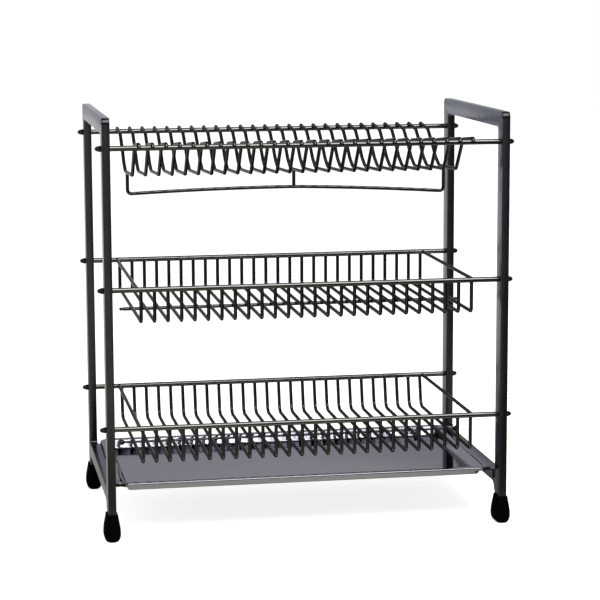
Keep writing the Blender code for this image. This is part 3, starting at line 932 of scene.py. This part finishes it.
def top_wire_path():
    """The top wire in Y and Z: a hook over the rear rod, a trough, a shoulder and a front hook."""
    rear = RODS["top", "rear"]
    front = RODS["top", "front"]
    reach = ROD_RADIUS + WIRE_RADIUS + JOINT_GAP / 2
    hook = reach * HOOK_BEND_SHARE
    path = [((0, rear.y + reach, rear.z), 0.0), ((0, rear.y + reach, rear.z + reach), hook)]
    for depth, drop, bend in TOP_PATH:
        y = rear.y + (front.y - rear.y) * depth
        path.append(((0, y, rear.z - TOP_DROP * drop), bend))
    path.append(((0, front.y - reach, front.z + reach), hook))
    path.append(((0, front.y - reach, front.z), 0.0))
    return path


def trough_height(y):
    """The height of the top wires' floor, which climbs to the front, at a place in Y."""
    rear = RODS["top", "rear"]
    front = RODS["top", "front"]
    (start, start_drop, _), (end, end_drop, _) = TOP_FLOOR
    share = ((y - rear.y) / (front.y - rear.y) - start) / (end - start)
    return rear.z - TOP_DROP * (start_drop + (end_drop - start_drop) * share)


def cradle_wire_path(tier):
    """A lower tier's wire: a U between the undersides of both rods, with its own rear bend."""
    drop, rear_lean, rear_bend = CRADLES[tier]
    rear = RODS[tier, "rear"]
    front = RODS[tier, "front"]
    end = rear.z - ROD_RADIUS + JOINT_GAP
    floor = rear.z - drop
    return [
        ((0, rear.y, end), 0.0),
        ((0, rear.y - rear_lean, floor), rear_bend),
        ((0, front.y, floor), WIRE_BEND),
        ((0, front.y, end), 0.0),
    ]


def keel_half(wire_radius, overhang, bulb_radius, bulb_length):
    """Half of a keel wire as places and radii: a bulb that swells smoothly, then the plain wire."""
    tip = END_WIRE_X + overhang
    stations = []
    for step in range(BULB_STEPS + 1):
        share = step / BULB_STEPS
        swell = math.sin(math.pi * (BULB_START + (1 - BULB_START) * share) ** BULB_LEAN)
        radius = max(bulb_radius * swell, wire_radius * share, BULB_LEAST_RADIUS)
        stations.append((bulb_length * share - tip, radius))
    stations.append((bulb_length * BULB_NECK - tip, wire_radius))
    return stations


class RACK_OT_side_frames(bpy.types.Operator):
    """Make both inverted U frames of polished rectangular tube."""

    bl_idname = "rack.side_frames"
    bl_label = "Side frames"

    def execute(self, context):
        edge = context.scene.rack_sizes.edge_radius
        for side, sign in SIDES.items():
            mesh = rolled_outline("side_tube_" + side, frame_outline(edge), TUBE_WIDTH, edge, "X")
            mesh.transform(Matrix.Translation((sign * FRAME_CENTRE_X, 0, 0)))
            mesh.materials.append(frame_finish())
            smooth_with_creases(mesh, degrees=40.0)
            put_in_place("side_tube_" + side, mesh, ["side_frame_" + side])
        return {"FINISHED"}


class RACK_OT_crossbars(bpy.types.Operator):
    """Make the lower crossbars with their weld gussets and the angles that carry the tray."""

    bl_idname = "rack.crossbars"
    bl_label = "Lower crossbars"

    def execute(self, context):
        edge = context.scene.rack_sizes.edge_radius * LOWER_BAR_EDGE_SHARE
        inner = FRAME_LOW.x
        for side, sign in SIDES.items():
            bar = rolled_outline("bar", crossbar_outline(edge), TUBE_WIDTH, edge, "X")
            bar.transform(Matrix.Translation((sign * FRAME_CENTRE_X, 0, 0)))
            corners = (
                (inner + RUNNER_SINK, LOWER_BAR_TOP),
                (inner - RUNNER_LEDGE, LOWER_BAR_TOP),
                (inner - RUNNER_LEDGE, LOWER_BAR_TOP - RUNNER_SHEET),
                (inner - RUNNER_SHEET, LOWER_BAR_TOP - RUNNER_SHEET),
                (inner - RUNNER_SHEET, LOWER_BAR_TOP - RUNNER_FLANGE),
                (inner + RUNNER_SINK, LOWER_BAR_TOP - RUNNER_FLANGE),
            )
            outline = [(sign * x, z) for x, z in corners]
            length = (LEG_INNER_Y - RUNNER_SETBACK) * 2
            angle = rolled_outline("angle", outline, length, 0.0, "Y")
            mesh = join_meshes("crossbar_" + side, [bar, angle], frame_finish())
            put_in_place("crossbar_" + side, mesh, ["lower_crossbar_" + side])
        return {"FINISHED"}


class RACK_OT_boots(bpy.types.Operator):
    """Put a rubber boot on each leg end."""

    bl_idname = "rack.boots"
    bl_label = "Boots"

    def execute(self, context):
        nodes = ["foot_" + row + "_" + side for row in ROWS for side in SIDES]
        points = []
        for node in nodes:
            middle = node_middle(node)
            points.append((middle.x, middle.y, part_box(node)[0][2]))
        mesh = copied_mesh("leg_boots", boot_mesh(), points, rubber_finish())
        smooth_with_creases(mesh, degrees=60.0)
        put_in_place("leg_boots", mesh, nodes)
        return {"FINISHED"}


class RACK_OT_rods(bpy.types.Operator):
    """Make the six long rods with their shoulders and studs."""

    bl_idname = "rack.rods"
    bl_label = "Rods"

    def execute(self, context):
        shoulder = FRAME_LOW.x
        half = [
            (-ROD_TIP_X, ROD_RADIUS * STUD_TIP_SHARE),
            (-shoulder, ROD_RADIUS * STUD_ROOT_SHARE),
            (-shoulder, ROD_RADIUS * SHOULDER_RIM_SHARE),
            (-shoulder + SHOULDER_CHAMFER, ROD_RADIUS),
        ]
        bar = turned("rod_bar", half, context.scene.rack_sizes.round_sides + ROD_EXTRA_SIDES)
        points = [tuple(place) for place in RODS.values()]
        mesh = copied_mesh("bright_rods", bar, points, rod_finish())
        nodes = ["rod_" + tier + "_" + row for tier, row in RODS]
        put_in_place("bright_rods", mesh, nodes)
        return {"FINISHED"}


class RACK_OT_cap_nuts(bpy.types.Operator):
    """Screw a domed nut on each stud, against the frames' outer faces."""

    bl_idname = "rack.cap_nuts"
    bl_label = "Cap nuts"

    def execute(self, context):
        points, turns, nodes = [], [], []
        for (tier, row), place in RODS.items():
            for side, sign in SIDES.items():
                points.append((sign * FRAME_HIGH.x, place.y, place.z))
                turns.append(sign * math.pi / 2)
                nodes.append("_".join(("cap_nut", tier, row, side)))
        mesh = copied_mesh("domed_nuts", cap_nut_mesh(), points, nut_finish(), turns)
        put_in_place("domed_nuts", mesh, nodes)
        return {"FINISHED"}


class RACK_OT_top_wires(bpy.types.Operator):
    """Bend the top tier's wires and hook them over both rods."""

    bl_idname = "rack.top_wires"
    bl_label = "Top wires"

    def execute(self, context):
        mesh = wire_mesh("top_bent_wires", [top_wire_path()], len(TOP_WIRES), -END_WIRE_X)
        put_in_place("top_bent_wires", mesh, TOP_WIRES)
        return {"FINISHED"}


class RACK_OT_lower_cradles(bpy.types.Operator):
    """Bend the middle and bottom wires, with the long wire and its bulbs under each row."""

    bl_idname = "rack.lower_cradles"
    bl_label = "Middle and bottom cradles"

    def execute(self, context):
        sizes = context.scene.rack_sizes
        for tier, keel_sizes in KEELS.items():
            name = tier + "_bent_wires"
            mesh = wire_mesh(name, [cradle_wire_path(tier)], len(TOP_WIRES), -END_WIRE_X)
            put_in_place(name, mesh, [tier + "_cradle"])
            drop = CRADLES[tier][0]
            keel_radius = keel_sizes[0]
            bent_radius = WIRE_RADIUS * sizes.bold_wire
            height = RODS[tier, "rear"].z - drop - bent_radius - keel_radius + KEEL_SINK
            half = keel_half(*keel_sizes)
            keel = turned(tier + "_keel_wire", half, sizes.round_sides, KEEL_Y, height)
            keel.materials.append(wire_finish())
            smooth_with_creases(keel, degrees=60.0)
            put_in_place(tier + "_keel_wire", keel)
        return {"FINISHED"}


class RACK_OT_tie_wires(bpy.types.Operator):
    """Lay the straight wires from rod to rod at the ends of the two lower tiers."""

    bl_idname = "rack.tie_wires"
    bl_label = "Tie wires"

    def execute(self, context):
        nodes = [tier + "_tie_" + side for tier in CRADLES for side in SIDES]
        paths = []
        for node in nodes:
            x, y, z = node_middle(node)
            half = node_size(node).y / 2 + JOINT_GAP * 2
            paths.append([((x, y + half, z), 0.0), ((x, y - half, z), 0.0)])
        mesh = wire_mesh("tie_wires", paths)
        put_in_place("tie_wires", mesh, nodes)
        return {"FINISHED"}


class RACK_OT_hanging_rail(bpy.types.Operator):
    """Hang the long rail under the top wires, with its turned-up ends and one upright."""

    bl_idname = "rack.hanging_rail"
    bl_label = "Hanging rail"

    def execute(self, context):
        hanger_x = WIRE_PITCH * HANGER_WIRE - END_WIRE_X
        level = RODS["top", "rear"].z - TOP_DROP - RAIL_END_DROP

        def upright_end(x):
            """The end that meets the top wires."""
            return (x, RAIL_Y, trough_height(RAIL_Y) - WIRE_RADIUS), 0.0

        def rail_point(x, bend=0.0):
            """A point of the bowed rail, which sags a little past its hanger."""
            past_hanger = max(0.0, (x - hanger_x) / (END_WIRE_X - hanger_x))
            bow = RAIL_BOW * (1 - (x / END_WIRE_X) ** 2)
            return (x, RAIL_Y, level + bow - RAIL_RIGHT_SAG * past_hanger), bend

        rail = [upright_end(-END_WIRE_X), rail_point(-END_WIRE_X, RAIL_BEND)]
        rail += [rail_point(END_WIRE_X * (2 * step / RAIL_STEPS - 1)) for step in range(1, RAIL_STEPS)]
        rail += [rail_point(END_WIRE_X, RAIL_BEND), upright_end(END_WIRE_X)]
        hanger = [upright_end(hanger_x), rail_point(hanger_x)]
        mesh = wire_mesh("bowed_rail", [rail, hanger])
        put_in_place("bowed_rail", mesh, ["hanging_rail"])
        return {"FINISHED"}


class RACK_OT_drip_tray(bpy.types.Operator):
    """Press the drip tray: a pan with a flat flange and a turned-down lip."""

    bl_idname = "rack.drip_tray"
    bl_label = "Drip tray"

    def execute(self, context):
        half_x, half_y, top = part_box("drip_tray")[1]
        base = LOWER_BAR_TOP + JOINT_GAP
        floor = base + TRAY_LIP - TRAY_PAN
        wall_foot = TRAY_FLANGE + TRAY_WALL_RUN
        section = [(0.0, base)]
        section += arc((TRAY_FOLD, top - TRAY_FOLD), TRAY_FOLD, 180, 90, TRAY_FOLD_STEPS)
        for run, rise in TRAY_TOP_BEND:
            section.append((TRAY_FLANGE + TRAY_FOLD * run, top + TRAY_FOLD * rise))
        for run, rise in TRAY_FOOT_BEND:
            section.append((wall_foot + TRAY_FOLD * run, floor + TRAY_FOLD * rise))
        rings = []
        for inset, z in section:
            corner = max(TRAY_CORNER - inset, TRAY_FOLD * 2)
            rings.append(rounded_ring(half_x - inset, half_y - inset, corner, z, TRAY_CORNER_STEPS))
        mesh = loft("pressed_tray", rings, close_first=False)
        mesh.materials.append(tray_finish())
        piece = put_in_place("pressed_tray", mesh, ["drip_tray"], "tray")
        sheet = piece.modifiers.new("sheet", "SOLIDIFY")
        sheet.thickness = TRAY_SHEET
        sheet.offset = -1
        smooth_with_creases(mesh, degrees=50.0)
        return {"FINISHED"}


def add_lamp(name, place, width, length, power):
    """A soft rectangular lamp that looks at the rack."""
    data = bpy.data.lights.new(name, "AREA")
    data.shape = "RECTANGLE"
    data.size = width
    data.size_y = length
    data.energy = power
    lamp = bpy.data.objects.new(name, data)
    lamp.location = place
    lamp.rotation_euler = (Vector(LAMP_AIM) - Vector(place)).to_track_quat("-Z", "Y").to_euler()
    bpy.context.scene.collection.objects.link(lamp)


def ray_kinds(tree):
    """1 for the camera's own rays, and 1 for what metal or glass shows of the surroundings."""
    camera = tree.add("ShaderNodeLightPath", output="Is Camera Ray")
    glossy = tree.add("ShaderNodeLightPath", output="Is Glossy Ray")
    through = tree.add("ShaderNodeLightPath", output="Is Transmission Ray")
    return camera, (glossy + through).limited()


def paper_finish(lift):
    """White paper. What metal shows of it is painted: bright at the rear and dim in front, most of all at
    the right, and tinted olive.
    """
    material = bpy.data.materials.new("paper_floor")
    tree = FinishTree(material)
    along = tree.place_along("Y")
    aside = tree.place_along("X")
    near = tree.spread(along, 0.0, 0.42, start=-0.45, end=-0.22, soft=True)
    far = tree.spread(along, 0.0, 0.58, start=0.3, end=3.0, soft=True)
    ahead = tree.spread(along, 0.45, 0.26, start=-4.0, end=-0.5)
    right = tree.spread(aside, 1.0, 0.10, start=-0.1, end=0.7, soft=True)
    camera_ray, mirrored = ray_kinds(tree)
    lit = near + far
    # Painted reflection: for mirrored rays the paper is dimmed by place, tinted olive and given a glow
    # where it is bright
    share = (1.0 - mirrored) + mirrored * (lit + ahead * right)
    paper = tree.blend(mirrored, (0.80, 0.80, 0.80), (0.86, 0.80, 0.62))
    seen = tree.blend(share.limited(), (0.0, 0.0, 0.0), paper)
    matte = tree.add("ShaderNodeBsdfDiffuse", {"Color": seen})
    strength = (camera_ray + mirrored * lit).limited() * lift
    glow = tree.add("ShaderNodeEmission", {"Strength": strength})
    whole = tree.add("ShaderNodeAddShader", {0: matte, 1: glow})
    tree.add("ShaderNodeOutputMaterial", {"Surface": whole})
    return material


def white_room(settings):
    """A white world. Metal shows it darker behind the camera, at the right and in a narrow band."""
    world = bpy.data.worlds.new("white_room")
    tree = FinishTree(world)
    camera_ray, mirrored = ray_kinds(tree)
    along = tree.place_along("Y")
    aside = tree.place_along("X")
    facing = tree.spread(along, settings.behind, 1.0, start=0.35, end=0.85, soft=True)
    fading = tree.spread(aside, 1.0, settings.right_side, start=0.16, end=0.32, soft=True)
    sinking = tree.spread(aside, 0.0, 0.38, start=-0.20, end=-0.11, soft=True)
    rising = tree.spread(aside, 0.0, 0.38, start=-0.05, end=0.04, soft=True)
    backdrop = facing * fading * (1.0 - (sinking - rising))
    even_light = (1.0 - camera_ray - mirrored) * settings.sky
    strength = camera_ray + mirrored * backdrop + even_light
    light = tree.add("ShaderNodeBackground", {"Color": (1.0, 1.0, 1.0, 1.0), "Strength": strength})
    tree.add("ShaderNodeOutputWorld", {"Surface": light})
    return world


def picture_camera():
    """The camera that takes the rack from the picture's own place."""
    data = bpy.data.cameras.new("picture_camera")
    data.sensor_width = SENSOR_WIDTH
    data.lens = FOCAL_PIXELS / PICTURE_PIXELS * SENSOR_WIDTH
    camera = bpy.data.objects.new("picture_camera", data)
    forward = CAMERA_AIM.normalized()
    right = (CAMERA_RIGHT - forward * CAMERA_RIGHT.dot(forward)).normalized()
    up = right.cross(forward)
    turn = Matrix((right, up, -forward)).transposed().to_4x4()
    camera.matrix_world = Matrix.Translation(CAMERA_PLACE) @ turn
    bpy.context.scene.collection.objects.link(camera)
    return camera


class RACK_OT_stage(bpy.types.Operator):
    """Set up the pale floor, the soft lamps, the white surroundings and the camera."""

    bl_idname = "rack.stage"
    bl_label = "Floor, lamps and camera"

    def execute(self, context):
        scene = context.scene
        settings = scene.rack_stage
        mesh = bpy.data.meshes.new("studio_floor")
        corners = [(x * FLOOR_REACH, y * FLOOR_REACH, 0) for x, y in ((-1, -1), (1, -1), (1, 1), (-1, 1))]
        mesh.from_pydata(corners, [], [(0, 1, 2, 3)])
        mesh.materials.append(paper_finish(settings.floor_lift))
        floor = bpy.data.objects.new("studio_floor", mesh)
        scene.collection.objects.link(floor)
        for name, (place, width, length, power) in LAMPS.items():
            add_lamp(name, place, width, length, getattr(settings, power))
        scene.world = white_room(settings)
        scene.camera = picture_camera()
        scene.view_settings.view_transform = "Standard"
        return {"FINISHED"}


OPERATORS = (
    RACK_OT_stage,
    RACK_OT_side_frames,
    RACK_OT_crossbars,
    RACK_OT_boots,
    RACK_OT_rods,
    RACK_OT_cap_nuts,
    RACK_OT_top_wires,
    RACK_OT_lower_cradles,
    RACK_OT_tie_wires,
    RACK_OT_hanging_rail,
    RACK_OT_drip_tray,
)


class RACK_PT_panel(bpy.types.Panel):
    """Sidebar panel with one button for each group of pieces."""

    bl_idname = "RACK_PT_panel"
    bl_label = "Plate Rack"
    bl_space_type = "VIEW_3D"
    bl_region_type = "UI"
    bl_category = "Plate Rack"

    def draw(self, context):
        for operator in OPERATORS:
            self.layout.operator(operator.bl_idname)


CLASSES = (RackSizes, RackColours, StageSettings, *OPERATORS, RACK_PT_panel)


def register():
    """Add the classes and the scene's settings."""
    for entry in CLASSES:
        bpy.utils.register_class(entry)
    bpy.types.Scene.rack_sizes = bpy.props.PointerProperty(type=RackSizes)
    bpy.types.Scene.rack_colours = bpy.props.PointerProperty(type=RackColours)
    bpy.types.Scene.rack_stage = bpy.props.PointerProperty(type=StageSettings)


def unregister():
    """Take the settings and the classes away."""
    del bpy.types.Scene.rack_stage
    del bpy.types.Scene.rack_colours
    del bpy.types.Scene.rack_sizes
    for entry in reversed(CLASSES):
        bpy.utils.unregister_class(entry)


def main():
    """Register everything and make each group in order."""
    register()
    for operator in OPERATORS:
        group, action = operator.bl_idname.split(".")
        getattr(getattr(bpy.ops, group), action)()


if __name__ == "__main__":
    main()
